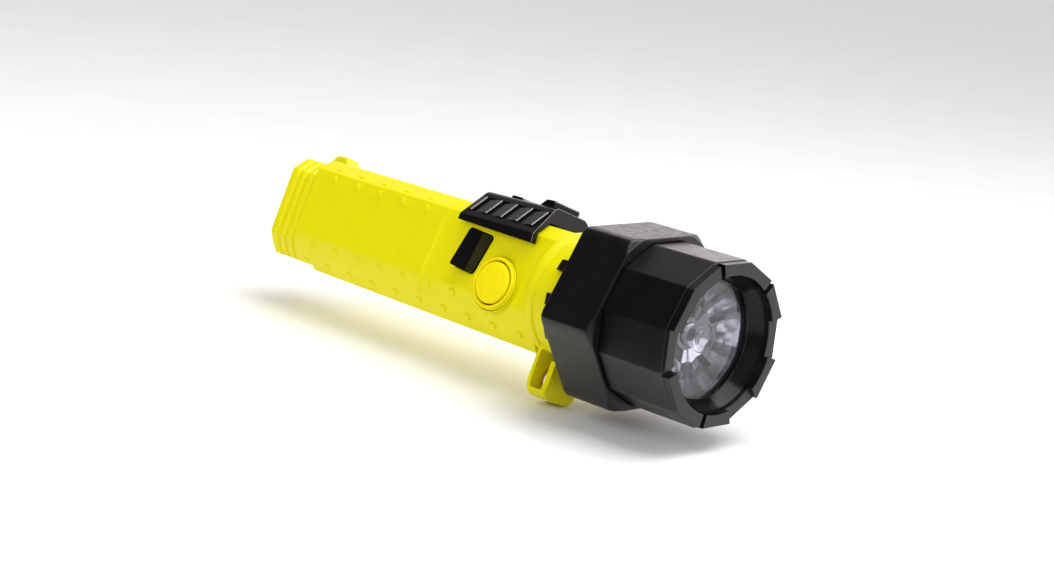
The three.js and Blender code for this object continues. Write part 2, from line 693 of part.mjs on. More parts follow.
torch.add(
  part('head_bezel', headBezel(), blackPlastic),
  part('hex_collar', hexCollar(), blackRubber),
  part('lock_ring', lockRing(), blackPlastic),
  part('front_lens', frontLens(), clearPlastic),
  part('lens_gasket', tubeX(19.4, 20.9, LENS_FRONT - 3.9, LENS_FRONT - 3.1, 32), blackRubber),
);

export default torch;
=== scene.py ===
"""Looks for a firefighter's flashlight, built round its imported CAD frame.

Shapes are made in millimetres, with x measured from the head's front plane, and are then put
into the frame in metres. Handle pieces are made with the handle's own top at +Z and turned.
"""
import json
import math

import bpy
import numpy as np
from mathutils import Matrix, Vector


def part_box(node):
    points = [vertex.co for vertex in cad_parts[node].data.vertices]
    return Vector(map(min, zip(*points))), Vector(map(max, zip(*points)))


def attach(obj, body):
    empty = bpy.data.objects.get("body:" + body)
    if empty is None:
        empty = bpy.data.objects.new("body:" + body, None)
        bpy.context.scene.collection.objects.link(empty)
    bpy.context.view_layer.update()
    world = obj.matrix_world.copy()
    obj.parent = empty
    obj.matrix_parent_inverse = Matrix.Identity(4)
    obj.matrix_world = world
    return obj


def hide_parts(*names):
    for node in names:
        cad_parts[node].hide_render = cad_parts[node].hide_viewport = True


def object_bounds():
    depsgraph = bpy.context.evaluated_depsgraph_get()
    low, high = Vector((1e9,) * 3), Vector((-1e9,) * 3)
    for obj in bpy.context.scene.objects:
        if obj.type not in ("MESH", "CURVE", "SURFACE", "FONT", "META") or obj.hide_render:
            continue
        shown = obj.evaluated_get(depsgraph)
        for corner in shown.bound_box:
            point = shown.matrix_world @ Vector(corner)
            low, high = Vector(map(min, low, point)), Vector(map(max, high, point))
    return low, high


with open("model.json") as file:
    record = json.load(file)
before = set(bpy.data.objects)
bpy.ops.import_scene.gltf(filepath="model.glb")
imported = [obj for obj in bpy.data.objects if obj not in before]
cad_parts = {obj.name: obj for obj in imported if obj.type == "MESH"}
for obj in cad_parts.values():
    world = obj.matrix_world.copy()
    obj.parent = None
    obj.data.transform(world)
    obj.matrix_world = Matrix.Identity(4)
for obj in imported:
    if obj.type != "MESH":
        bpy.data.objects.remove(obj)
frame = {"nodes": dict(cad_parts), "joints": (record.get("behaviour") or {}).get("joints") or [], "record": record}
cad_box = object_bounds()
nodes = frame["nodes"]
record = frame["record"]

# ---- places taken from the frame ----

press_axis = next(j for j in frame["joints"] if j["name"] == "button_press")["axis"]
HANDLE_TURN = math.atan2(press_axis[2], press_axis[1])
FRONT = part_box("head_bezel")[1].x
TO_HEAD = Matrix.Translation((FRONT, 0, 0)) @ Matrix.Scale(0.001, 4)
TO_HANDLE = Matrix.Translation((FRONT, 0, 0)) @ Matrix.Rotation(HANDLE_TURN, 4, "X") @ Matrix.Scale(0.001, 4)


def span(node, to_frame):
    """Lowest and highest corner of a CAD node, in millimetres, in the handle's or the head's own axes."""
    back = to_frame.inverted()
    points = np.array([back @ v.co for v in nodes[node].data.vertices])
    return Vector(points.min(0)), Vector(points.max(0))


shell_low, shell_high = span("body_shell", TO_HANDLE)
ring_low, ring_high = span("button_ring", TO_HANDLE)
cap_low, cap_high = span("button_cap", TO_HANDLE)
key_low, key_high = span("key_cap", TO_HANDLE)
pin_low, pin_high = span("key_pin", TO_HANDLE)
saddle_low, saddle_high = span("slide_saddle", TO_HANDLE)
rail_high = span("slide_rail", TO_HANDLE)[1]
eyelet_low, eyelet_high = span("lanyard_eyelet", TO_HANDLE)
collar_low, collar_high = span("hex_collar", TO_HEAD)
bezel_low = span("head_bezel", TO_HEAD)[0]
lock_low, lock_high = span("lock_ring", TO_HEAD)
lens_low, lens_high = span("front_lens", TO_HEAD)
optic_low, optic_high = span("tir_optic", TO_HEAD)

# ---- driving dimensions, in millimetres ----

TAIL = shell_low.x
BAND_FRONT = TAIL + 13.8
DEEP_STEP = BAND_FRONT + 8.0
PANEL_FRONT = -117.1
PANEL_LIFT = 0.6
TAIL_WALL = 4.2
COVE_REAR = -75.0
FLANGE_REAR = -65.5
NECK_SHOULDER = -50.0
NECK_FRONT = shell_high.x
SIDE = 13.9
TOP = 18.9
FLANGE_R = 20.5
NECK_R = 18.3
NECK_BORE_R = 16.9
THREAD_PITCH = 3.0
GROOVES = (BAND_FRONT - 9.6, BAND_FRONT - 5.7, BAND_FRONT - 1.5)
END_ROUND = 0.7

BUTTON = Vector(((cap_low.x + cap_high.x) / 2, 0, (cap_low.z + cap_high.z) / 2))
BUTTON_R = (cap_high.x - cap_low.x) / 2
RING_R = (ring_high.x - ring_low.x) / 2
RING_FACE = ring_low.y
BOSS_FOOT = -8.0
PIP_PITCH = 12.0
PIP_CORNER = 0.72
PIP_RINGS = ((1.35, -0.4), (1.0, 0.35), (0.84, 0.6), (0.6, 0.68))
PIN_HOLE_R = 1.1
SCREW_HOLE_R = 1.5
KEY_SLANT = 0.075
KEY_TAPER = 2.7
KEY_TOP_FACE = -14.3
KEY_LEAN = 2.8
KEY_FOOT = -14.1

LUG_REAR = -63.4
LUG_FRONT = -55.4
LUG_HALF = 8.4
LUG_WALL = 1.7
TAB_ROOM_R = 22.9
LUG_LOW = shell_low.z
EYELET_Z = (eyelet_low.z + eyelet_high.z) / 2

HEAD_APOTHEM = 25.5
COLLAR_APOTHEM = 27.0
COLLAR_CORNER_R = 30.7
COLLAR_CHAMFER = 1.6
COLLAR_REAR = collar_low.x
COLLAR_FRONT = collar_high.x
CROWN_LEDGE = -2.6
CROWN_LOW = -1.5
CROWN_NOTCH = -2.4
MOUTH_R = 21.5
APERTURE_R = 18.4
LENS_SEAT = -7.6
SLEEVE_R = 24.3
SLEEVE_REAR = bezel_low.x
TALL_TEETH = (True, True, True, False, True, False, True, True, True, False, True, True)
NOTCHED_CORNERS = (1, 6, 8, 11)
FIRST_TAB = -22.0
TAB_REACH = 6.2
TAB_HALF = 1.9
TAB_R = 21.5
LOCK_BORE_R = 20.9
LOCK_STEP = -49.3

# ---- mesh helpers ----


def soft_min(a, b, k):
    """The smaller of a and b, with the corner between them rounded over about k."""
    h = np.clip(k - np.abs(a - b), 0, None) / k
    return np.minimum(a, b) - h * h * k / 4


def soft_max(a, b, k):
    return -soft_min(-a, -b, k)


def ease(t):
    """0 before 0, 1 after 1, smooth between them."""
    t = np.clip(t, 0, 1)
    return t * t * (3 - 2 * t)


def new_object(name, points, faces, to_frame):
    mesh = bpy.data.meshes.new(name)
    mesh.from_pydata([tuple(p) for p in points], [], faces)
    mesh.transform(to_frame)
    mesh.update()
    piece = bpy.data.objects.new(name, mesh)
    bpy.context.scene.collection.objects.link(piece)
    return piece


def loft(name, rings, to_frame, closed=False):
    """A skin over rings of equally many points.

    Closed joins the last ring to the first. Otherwise both ends are capped.
    """
    rings = np.asarray(rings, float)
    count, size = rings.shape[:2]
    faces = []
    for i in range(count if closed else count - 1):
        a, b = i * size, (i + 1) % count * size
        for j in range(size):
            k = (j + 1) % size
            faces.append((a + j, a + k, b + k, b + j))
    if not closed:
        faces.append(tuple(reversed(range(size))))
        faces.append(tuple((count - 1) * size + j for j in range(size)))
    piece = new_object(name, rings.reshape(-1, 3), faces, to_frame)
    face_outwards(piece)
    return piece


def face_outwards(piece):
    """Turns all the faces over if the solid's volume comes out negative."""
    mesh = piece.data
    mesh.calc_loop_triangles()
    co = np.array([v.co for v in mesh.vertices])
    tri = np.array([t.vertices for t in mesh.loop_triangles])
    a, b, c = co[tri[:, 0]], co[tri[:, 1]], co[tri[:, 2]]
    if np.einsum("ij,ij->i", a, np.cross(b, c)).sum() < 0:
        mesh.flip_normals()


def polar_ring(x, radius, theta):
    """Points at angle theta from +Y towards +Z."""
    return np.stack([np.broadcast_to(x, theta.shape), radius * np.cos(theta), radius * np.sin(theta)], 1)


def turned(name, profile, to_frame, sides=96, axis="X", centre=(0, 0, 0)):
    """A turned shape. Its profile of [along, radius] closes on itself, or ends on the axis at both ends."""
    profile = np.asarray(profile, float)
    angles = np.arange(sides) * 2 * math.pi / sides
    on_axis = profile[0, 1] < 1e-9
    loop = profile[1:-1] if on_axis else profile
    rings = []
    for along, radius in loop:
        u, v = radius * np.cos(angles), radius * np.sin(angles)
        w = np.full(sides, along)
        columns = {"X": (w, u, v), "Y": (u, w, v), "Z": (u, v, w)}[axis]
        rings.append(np.stack(columns, 1) + np.array(centre))
    return loft(name, rings, to_frame, closed=not on_axis)


def rod(name, low, high, radius, to_frame, sides=96, axis="X", centre=(0, 0, 0)):
    profile = [(low, 0), (low, radius), (high, radius), (high, 0)]
    return turned(name, profile, to_frame, sides, axis, centre)


def prism(name, outline, low, high, to_frame, axis="X"):
    """An outline of [y, z] points run along X, or of [x, z] points run along Y."""
    outline = np.asarray(outline, float)
    ends = []
    for along in (low, high):
        w = np.full(len(outline), along)
        if axis == "X":
            ends.append(np.stack([w, outline[:, 0], outline[:, 1]], 1))
        else:
            ends.append(np.stack([outline[:, 0], w, outline[:, 1]], 1))
    return loft(name, ends, to_frame)


def both_sides(right):
    """A closed outline from the points of its right half, top to bottom or bottom to top."""
    return right + [(-y, z) for y, z in reversed(right)]


def block(name, low, high, to_frame):
    (x0, y0, z0), (x1, y1, z1) = low, high
    return prism(name, [(y0, z0), (y1, z0), (y1, z1), (y0, z1)], x0, x1, to_frame)


def rounded(corners, radii, steps=5):
    """The outline through corners, each rounded to its own radius."""
    count = len(corners)
    points = []
    for i in range(count):
        p = Vector(corners[i])
        before = (Vector(corners[i - 1]) - p).normalized()
        after = (Vector(corners[(i + 1) % count]) - p).normalized()
        radius = radii if isinstance(radii, (int, float)) else radii[i]
        if radius <= 0:
            points.append(tuple(p))
            continue
        half = before.angle(after) / 2
        reach = radius / math.tan(half)
        centre = p + (before + after).normalized() * radius / math.sin(half)
        start, end = p + before * reach - centre, p + after * reach - centre
        turn = start.angle_signed(end)
        for k in range(steps + 1):
            spoke = Matrix.Rotation(-turn * k / steps, 2) @ start
            points.append(tuple(centre + spoke))
    return points


def apply_modifiers(piece):
    graph = bpy.context.evaluated_depsgraph_get()
    shaped = piece.evaluated_get(graph)
    mesh = bpy.data.meshes.new_from_object(shaped, preserve_all_data_layers=True, depsgraph=graph)
    piece.modifiers.clear()
    old = piece.data
    piece.data = mesh
    bpy.data.meshes.remove(old)
    return piece


def bevel(piece, width, segments=3, angle=25):
    modifier = piece.modifiers.new("edge", "BEVEL")
    modifier.width = width * 0.001
    modifier.segments = segments
    modifier.limit_method = "ANGLE"
    modifier.angle_limit = math.radians(angle)
    return apply_modifiers(piece)


def combine(base, operation, *tools):
    """Joins, cuts or keeps the overlap of closed solids, using up the tools."""
    for tool in tools:
        modifier = base.modifiers.new("combine", "BOOLEAN")
        modifier.operation = operation
        modifier.solver = "MANIFOLD"
        modifier.object = tool
        apply_modifiers(base)
        bpy.data.objects.remove(tool)
    return base


def join(base, *tools):
    return combine(base, "UNION", *tools)


def cut(base, *tools):
    return combine(base, "DIFFERENCE", *tools)


def merged(name, pieces):
    """One object from several that don't touch."""
    points, faces = [], []
    for piece in pieces:
        start = len(points)
        points += [tuple(v.co) for v in piece.data.vertices]
        faces += [tuple(start + i for i in p.vertices) for p in piece.data.polygons]
        bpy.data.objects.remove(piece)
    return new_object(name, points, faces, Matrix.Identity(4))


def finish_piece(piece, body, slot, material, *stands_for, sharp=32):
    """Shading, material and place in the frame of a new piece."""
    mesh = piece.data
    mesh.validate()
    mesh.shade_smooth()
    mesh.set_sharp_from_angle(angle=math.radians(sharp))
    mesh.materials.clear()
    mesh.materials.append(material)
    normals = piece.modifiers.new("flat faces stay flat", "WEIGHTED_NORMAL")
    normals.keep_sharp = True
    normals.weight = 80
    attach(piece, body)
    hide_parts(*stands_for)
    return piece


# ---- materials ----


class Nodes:
    """A short way to build the node tree of a material or a world."""

    def __init__(self, tree, place="Object"):
        self.tree = tree
        self.place = self.add("ShaderNodeTexCoord").outputs[place]

    def feed(self, socket, value):
        """Gives a socket a value of its own, or a link from another socket."""
        if isinstance(value, bpy.types.NodeSocket):
            self.tree.links.new(value, socket)
        else:
            socket.default_value = (*value, 1) if socket.type == "RGBA" else value

    def add(self, kind, settings=(), **inputs):
        """A new node with its settings, and then its inputs. In an input's name, _ stands for a space."""
        node = self.tree.nodes.new(kind)
        for key, value in dict(settings).items():
            setattr(node, key, value)
        for key, value in inputs.items():
            self.feed(node.inputs[key.replace("_", " ")], value)
        return node

    def noise(self, size, detail=2.0, stretch=None):
        """Noise with features about size millimetres across."""
        place = self.place
        if stretch:
            place = self.add("ShaderNodeMapping", Vector=place, Scale=stretch).outputs["Vector"]
        return self.add("ShaderNodeTexNoise", Vector=place, Scale=1000 / size, Detail=detail).outputs["Fac"]

    def ramp(self, source, low, high, start=0.3, end=0.7):
        """Maps start..end of source to low..high, numbers or colours."""
        if isinstance(low, tuple):
            node = self.add("ShaderNodeValToRGB", Fac=source)
            for stop, position, colour in zip(node.color_ramp.elements, (start, end), (low, high)):
                stop.position = position
                stop.color = (*colour, 1)
            return node.outputs["Color"]
        return self.add("ShaderNodeMapRange", Value=source, From_Min=start, From_Max=end, To_Min=low,
                        To_Max=high).outputs["Result"]

    def blend(self, factor, low, high):
        """low where factor is 0 and high where it is 1; each is a number or a socket."""
        return self.add("ShaderNodeMix", Factor=factor, A=low, B=high).outputs["Result"]

    def maths(self, operation, first, second):
        node = self.add("ShaderNodeMath", {"operation": operation})
        self.feed(node.inputs[0], first)
        self.feed(node.inputs[1], second)
        return node.outputs[0]


class Surface(Nodes):
    """A new material and its node tree."""

    def __init__(self, name):
        self.material = bpy.data.materials.new(name)
        self.material.use_nodes = True
        super().__init__(self.material.node_tree)
        self.shader = self.tree.nodes["Principled BSDF"]

    def bump(self, *layers):
        """Each layer is (height, depth in millimetres, strength)."""
        normal = None
        for height, depth, strength in layers:
            node = self.add("ShaderNodeBump", Strength=strength, Distance=depth * 0.001, Height=height)
            if normal:
                self.feed(node.inputs["Normal"], normal)
            normal = node.outputs["Normal"]
        self.set(Normal=normal)

    def set(self, **values):
        for key, value in values.items():
            self.feed(self.shader.inputs[key.replace("_", " ")], value)


def moulded(name, low, high, rough, grain=0.25, grain_depth=0.02, **extra):
    """Moulded plastic: slightly uneven colour, uneven gloss and a fine grain."""
    n = Surface(name)
    n.set(Base_Color=n.ramp(n.noise(9, 4), low, high), Roughness=n.ramp(n.noise(2.5, 5), *rough), **extra)
    n.bump((n.noise(grain, 3), grain_depth, 0.5), (n.noise(20, 1), 0.05, 0.15))
    return n.material


def metal(name, low, high, rough, stretch):
    """Bare metal with fine brushed or drawn lines."""
    n = Surface(name)
    lines = n.noise(0.4, 4, stretch)
    n.set(Base_Color=n.ramp(n.noise(3, 4), low, high), Metallic=1.0, Roughness=n.ramp(lines, *rough))
    n.bump((lines, 0.01, 0.35))
    return n.material


def circuit_board(name):
    """Green solder mask with a faint grid of tracks under it."""
    n = Surface(name)
    grid = n.add("ShaderNodeTexBrick", Vector=n.place, Scale=260, Mortar_Size=0.012,
                 Mortar=(0.03, 0.20, 0.08), Color1=(0.010, 0.10, 0.035), Color2=(0.014, 0.13, 0.045))
    n.set(Base_Color=grid.outputs["Color"], Roughness=n.ramp(n.noise(1.5, 3), 0.3, 0.45))
    n.bump((grid.outputs["Fac"], 0.02, 0.4))
    return n.material


def cell_sleeve(name):
    """A shrunk plastic sleeve, dark and lightly coated."""
    n = Surface(name)
    n.set(Base_Color=n.ramp(n.noise(6, 2), (0.018, 0.030, 0.045), (0.026, 0.042, 0.060)),
          Roughness=n.ramp(n.noise(1.2, 3), 0.22, 0.34), Coat_Weight=0.4)
    n.bump((n.noise(1.6, 2), 0.03, 0.3))
    return n.material


def clear(name):
    n = Surface(name)
    n.set(Base_Color=(0.95, 0.96, 0.98), Transmission_Weight=1.0, IOR=1.5,
          Roughness=n.ramp(n.noise(4, 3), 0.0, 0.02))
    n.bump((n.noise(20, 1), 0.004, 0.1))
    return n.material


def silvered(name):
    """The optic's side wall, which throws all light back as a mirror does."""
    n = Surface(name)
    n.set(Base_Color=n.ramp(n.noise(5, 2), (0.70, 0.67, 0.70), (0.82, 0.79, 0.82)), Metallic=1.0,
          Roughness=n.ramp(n.noise(4, 1), 0.12, 0.18))
    n.bump((n.noise(8, 0), 0.01, 0.05))
    return n.material


def phosphor(name):
    n = Surface(name)
    n.set(Base_Color=n.ramp(n.noise(0.5, 3), (0.75, 0.52, 0.06), (0.85, 0.62, 0.10)), Roughness=0.5)
    n.bump((n.noise(0.2, 2), 0.02, 0.4))
    return n.material


YELLOW = moulded("yellow_plastic", (0.78, 0.707, 0.0), (0.81, 0.737, 0.0), (0.32, 0.44), grain=0.35,
                 grain_depth=0.012, Subsurface_Weight=0.15, Subsurface_Scale=0.0012,
                 Subsurface_Radius=(1.0, 0.9, 0.02), Specular_IOR_Level=0.22)
SOFT_YELLOW = moulded("yellow_rubber", (0.90, 0.74, 0.0), (0.97, 0.80, 0.0), (0.40, 0.55), grain=0.3,
                      grain_depth=0.02, Subsurface_Weight=0.2, Subsurface_Scale=0.0012,
                      Subsurface_Radius=(1.0, 0.85, 0.02), Specular_IOR_Level=0.2)
BLACK = moulded("black_plastic", (0.004, 0.0032, 0.0032), (0.0065, 0.0052, 0.0052), (0.28, 0.38), grain=0.5,
                grain_depth=0.008)
GLOSS = moulded("black_gloss", (0.005, 0.0042, 0.0045), (0.008, 0.0068, 0.0072), (0.14, 0.24), grain=0.5,
                grain_depth=0.008, Specular_IOR_Level=0.18)
RUBBER = moulded("black_rubber", (0.005, 0.0038, 0.0038), (0.008, 0.0065, 0.0065), (0.32, 0.46), grain=0.4,
                 grain_depth=0.02)
# Light grey on the slide's faces that turn forwards and up, the rib fronts and the front bevel: a painted
# highlight.
PAINTED_EDGE_HIGHLIGHT = moulded("painted_edge_highlight", (0.13, 0.12, 0.125), (0.24, 0.22, 0.23), (0.2, 0.35), grain=0.3)
# Olive-tinted black for the key's facet past its ridge: a painted reflection of the yellow flange.
KEY_PAINTED_REFLECTION = moulded("key_painted_reflection", (0.020, 0.019, 0.004), (0.032, 0.031, 0.006), (0.2, 0.32), grain=0.5)
GREY = moulded("grey_plastic", (0.16, 0.165, 0.17), (0.20, 0.205, 0.21), (0.35, 0.5))
STEEL = metal("spring_steel", (0.55, 0.55, 0.57), (0.68, 0.68, 0.70), (0.18, 0.36), (1, 8, 1))
BRASS = metal("brass", (0.62, 0.42, 0.14), (0.75, 0.54, 0.20), (0.18, 0.34), (1, 5, 5))
ALUMINIUM = metal("turned_aluminium", (0.55, 0.56, 0.58), (0.66, 0.67, 0.69), (0.24, 0.42), (9, 1, 1))
BOARD = circuit_board("circuit_board")
SLEEVE = cell_sleeve("cell_sleeve")
CLEAR = clear("clear_polycarbonate")
SILVERED = silvered("silvered_wall")
PHOSPHOR = phosphor("phosphor")
BY_SLOT = {
    "yellow_shell": YELLOW, "black_shell": BLACK, "black_gloss": GLOSS, "black_rubber": RUBBER,
    "grey_plastic": GREY, "clear": CLEAR, "steel": STEEL, "brass": BRASS, "aluminium": ALUMINIUM,
    "circuit_board": BOARD, "cell_sleeve": SLEEVE, "phosphor": PHOSPHOR,
}

# ---- handle shell ----


def outline_radius(theta, corners, top, low, k=0.45):
    """Distance from the axis to a many-sided outline that is the same on both sides, with soft corners."""
    across, up = np.abs(np.cos(theta)), np.sin(theta)
    faces = [((0, 1), top), ((0, -1), -low)]
    for (y0, z0), (y1, z1) in zip(corners[:-1], corners[1:]):
        normal = Vector((z0 - z1, y1 - y0)).normalized()
        faces.append((tuple(normal), normal.x * y0 + normal.y * z0))
    radius = np.full(theta.shape, 1e3)
    for (ny, nz), distance in faces:
        facing = across * ny + up * nz
        hit = np.where(facing > 0.05, distance / np.maximum(facing, 0.05), 1e3)
        radius = soft_min(radius, hit, k)
    return radius


def tail_radius(theta, inset):
    side, top, low = 13.8 - inset, 17.0 - inset, -18.6 + inset
    corners = [(8.8, top), (side, 11.8 - inset / 2), (side, -11.6), (11.8 - inset, -14.9 + inset / 2),
               (8.2, low)]
    return outline_radius(theta, corners, top, low)


def body_radius(theta, x):
    """The body's outline, with the side panel and the deeper belly where x has them."""
    low = -18.7 - ease((x - DEEP_STEP) / 0.6 + 0.5) * (1.3 + 0.011 * (x - DEEP_STEP))
    crown = TOP - 0.25 * ease((x + 112) / 30)

    def at(side):
        corners = [(9.0, TOP), (side, 14.3), (side, -9.85), (side - 2.8, -15.4), (7.0, -20.0)]
        return outline_radius(theta, corners, crown, low)

    plain, raised = at(SIDE), at(SIDE + PANEL_LIFT)
    height = plain * np.sin(theta)
    edge = PANEL_FRONT + (height - 2.2) * 0.108
    return plain + (raised - plain) * ease((edge - x) / 1.3 + 0.5)


def groove_inset(x):
    """How far the tail band is set in at x: three rounded grooves and a rounded end."""
    depth = sum(0.95 * ease(1.25 - abs(x - g) / 0.95) for g in GROOVES)
    end = np.clip((TAIL + END_ROUND - x) / END_ROUND, 0, 1)
    return depth + END_ROUND * (1 - math.sqrt(max(0.0, 1 - end * end)))


NECK_PROFILE = [
    (COVE_REAR, 13.5), (FLANGE_REAR, 20.0), (FLANGE_REAR + 0.25, 20.32), (FLANGE_REAR + 0.7, FLANGE_R),
    (FLANGE_REAR + 2.5, FLANGE_R), (FLANGE_REAR + 2.9, 20.3), (FLANGE_REAR + 3.2, 19.75),
    (FLANGE_REAR + 3.6, 19.6), (FLANGE_REAR + 4.0, 19.75), (FLANGE_REAR + 4.3, 20.3),
    (FLANGE_REAR + 4.7, FLANGE_R), (NECK_SHOULDER - 0.6, FLANGE_R), (NECK_SHOULDER - 0.1, 20.2),
    (NECK_SHOULDER, 19.6), (NECK_SHOULDER + 0.05, NECK_R), (NECK_FRONT - 1.0, NECK_R),
    (NECK_FRONT, NECK_R - 0.8),
]


def neck_radius(theta, x):
    """The cove behind the flange, the flange, its groove, and the threaded neck."""
    if x < FLANGE_REAR:
        share = (x - COVE_REAR) / (FLANGE_REAR - COVE_REAR)
        if share < 0:
            return np.zeros(theta.shape)
        return np.full(theta.shape, 20.0 - 6.5 * math.sqrt(max(0.0, 1 - share * share)))
    radius = np.full(theta.shape, np.interp(x, *zip(*NECK_PROFILE)))
    on_thread = ease((x - NECK_SHOULDER - 3.0) / 1.0) * ease((NECK_FRONT - 1.5 - x) / 1.0)
    wave = (x / THREAD_PITCH - theta / (2 * math.pi)) % 1.0
    return radius + 0.3 * on_thread * ease(2.4 - np.abs(wave - 0.5) * 7)


def shell_radius(theta, x):
    if x < BAND_FRONT + 1:
        into_body = ease((x - BAND_FRONT) / 0.8 + 0.5)
        tail = tail_radius(theta, groove_inset(x))
        return tail + (body_radius(theta, x) - tail) * into_body
    if x < COVE_REAR - 1:
        return body_radius(theta, x)
    neck = neck_radius(theta, x)
    if x > FLANGE_REAR:
        return neck
    return soft_max(body_radius(theta, x), neck, 1.6)


def stations(*stretches):
    """Places along x: each stretch is (start, step), up to the next one's start."""
    places = []
    for (start, step), (end, _) in zip(stretches[:-1], stretches[1:]):
        count = max(1, round((end - start) / step))
        places += [start + (end - start) * i / count for i in range(count)]
    return places + [stretches[-1][0]]


def shell_angles():
    """Angles round the handle, closer together at the outline's corners."""
    corners = [(9.0, TOP), (SIDE + 0.3, 14.3), (SIDE + 0.3, -9.85), (11.4, -15.4), (7.2, -19.7)]
    angles = set(round(a, 3) for a in np.arange(0, 360, 3.0))
    for y, z in corners:
        for side in (1, -1):
            middle = math.degrees(math.atan2(z, side * y)) % 360
            angles.update(round((middle + d) % 360, 3) for d in np.arange(-4.2, 4.3, 0.7))
    kept = []
    for angle in sorted(angles):
        if not kept or angle - kept[-1] > 0.3:
            kept.append(angle)
    return np.radians(kept)


def shell_skin():
    theta = shell_angles()
    places = stations(
        (TAIL, 0.1), (TAIL + END_ROUND, 0.3), (BAND_FRONT - 0.6, 0.12), (BAND_FRONT + 0.6, 1.6),
        (DEEP_STEP - 0.5, 0.15), (DEEP_STEP + 0.5, 3.0), (PANEL_FRONT - 2.4, 0.16), (PANEL_FRONT + 2.4, 3.0),
        (COVE_REAR - 1.5, 0.4), (FLANGE_REAR - 2.0, 0.15), (FLANGE_REAR + 0.9, 0.8),
        (FLANGE_REAR + 2.3, 0.16), (FLANGE_REAR + 4.9, 1.5),
        (NECK_SHOULDER - 0.8, 0.1), (NECK_SHOULDER + 0.1, 0.3), (NECK_FRONT, 1))
    rings = [polar_ring(x, shell_radius(theta, x), theta) for x in places]
    return loft("body_shell.shape", rings, TO_HANDLE)


def hollow(top, low, rear, front):
    right = [(7.2, top), (11.7, top - 4.4), (11.7, -9.0), (9.4, -13.8), (5.6, low)]
    return prism("hollow", both_sides(right), rear, front, TO_HANDLE)


def pip(x, y, z, normal, length, width):
    """One raised pad, standing on the surface point (x, y, z) whose outward direction is normal (y, z)."""
    out = Vector((0, *normal)).normalized()
    along = Vector((1, 0, 0))
    across = out.cross(along)
    c = PIP_CORNER
    outline = ((1, c), (c, 1), (-c, 1), (-1, c), (-1, -c), (-c, -1), (c, -1), (1, -c))
    rings = []
    for scale, height in PIP_RINGS:
        middle = Vector((x, y, z)) + out * height
        reach, spread = along * (length / 2 * scale), across * (width / 2 * scale)
        rings.append([middle + reach * u + spread * v for u, v in outline])
    return loft("pip", rings, TO_HANDLE)


def grip_pips():
    """Rows of small pads on both sides: two below the panel, one near its top and one on the upper slope."""
    rows = [
        (BAND_FRONT + 10.0, 7, (SIDE + PANEL_LIFT - 1.3, -11.9), (0.893, -0.45), 2.3, 2.3),
        (BAND_FRONT + 5.0, 10, (9.2, -17.45), (0.70, -0.714), 2.3, 2.3),
        (BAND_FRONT + 11.0, 5, (SIDE + PANEL_LIFT, 12.0), (1, 0), 1.6, 2.3),
        (BAND_FRONT + 10.0, 5, (12.2, 15.75), (0.66, 0.75), 3.2, 2.2),
    ]
    pips = []
    for start, count, (y, z), (out_y, out_z), length, width in rows:
        for i in range(count):
            for side in (1, -1):
                x = start + i * PIP_PITCH
                pips.append(pip(x, side * y, z, (side * out_y, out_z), length, width))
    return merged("pips", pips)


def tail_nub():
    low = TOP - 5
    profile = [(-9.2, low), (-8.2, 18.6), (-5.2, 21.7), (-0.7, 21.8), (2.2, 18.7), (2.8, low)]
    outline = rounded([(BAND_FRONT + x, z) for x, z in profile], [0, 0.8, 1.6, 1.6, 1.2, 0], 4)
    return bevel(prism("nub", outline, -3.2, 3.2, TO_HANDLE, axis="Y"), 0.8, 3, 50)


def lanyard_lug():
    """A loop under the neck: a rear wall with the eyelet, a foot, and a front wall that narrows upwards."""
    half, low = LUG_HALF, LUG_LOW
    walls = prism("lug", rounded([(-half, -12), (-half, low), (half, low), (half, -12)], [0, 5, 5, 0], 8),
                  LUG_REAR, LUG_FRONT, TO_HANDLE)
    bevel(walls, 0.7, 4, 50)
    window_low = low + 2.6
    window = block("window", (LUG_REAR + LUG_WALL, -12, window_low), (LUG_FRONT - 2.0, 12, -FLANGE_R + 1.4),
                   TO_HANDLE)
    bevel(window, 0.9, 4)
    tools = [window]
    for side in (1, -1):
        flank = [(side * 12, window_low), (side * 7.3, window_low), (side * 6.8, window_low + 2.5),
                 (side * 6.8, -FLANGE_R + 0.3), (side * 12, -FLANGE_R + 0.3)]
        tools.append(prism("flank", flank, LUG_FRONT - 3.2, LUG_FRONT + 1, TO_HANDLE))
    rear, front = LUG_FRONT - 2.0, LUG_FRONT + 1.0
    room = [(rear, FLANGE_R), (front, FLANGE_R), (front, TAB_ROOM_R), (rear, TAB_ROOM_R)]
    tools.append(turned("tab_room", room, TO_HANDLE))
    tools.append(rod("hole", LUG_REAR - 1, LUG_REAR + 3.2, 3.4, TO_HANDLE, 64, centre=(0, 0, EYELET_Z)))
    return cut(walls, *tools)


def button_boss():
    """The raised seat of the button's ring, flared where it meets the side."""
    seat = ring_high.y
    flare = [(RING_R + 0.5 * (1 - math.sin(a)), seat + 1.4 * (1 - math.cos(a)) + 0.35)
             for a in np.linspace(math.pi / 2, 0, 7)]
    profile = [(BOSS_FOOT, 0), (BOSS_FOOT, RING_R + 0.5)]
    profile += [(y, r) for r, y in reversed(flare)]
    profile += [(seat + 0.3, RING_R), (seat, RING_R - 0.3), (seat, 0)]
    return turned("boss", profile, TO_HANDLE, 96, "Y", BUTTON)


def pin_hole(rear, front):
    """A round cutter along the key's hinge pin."""
    middle = (pin_low + pin_high) / 2
    return rod("pin_hole", rear, front, PIN_HOLE_R, TO_HANDLE, 24, centre=(0, middle.y, middle.z))


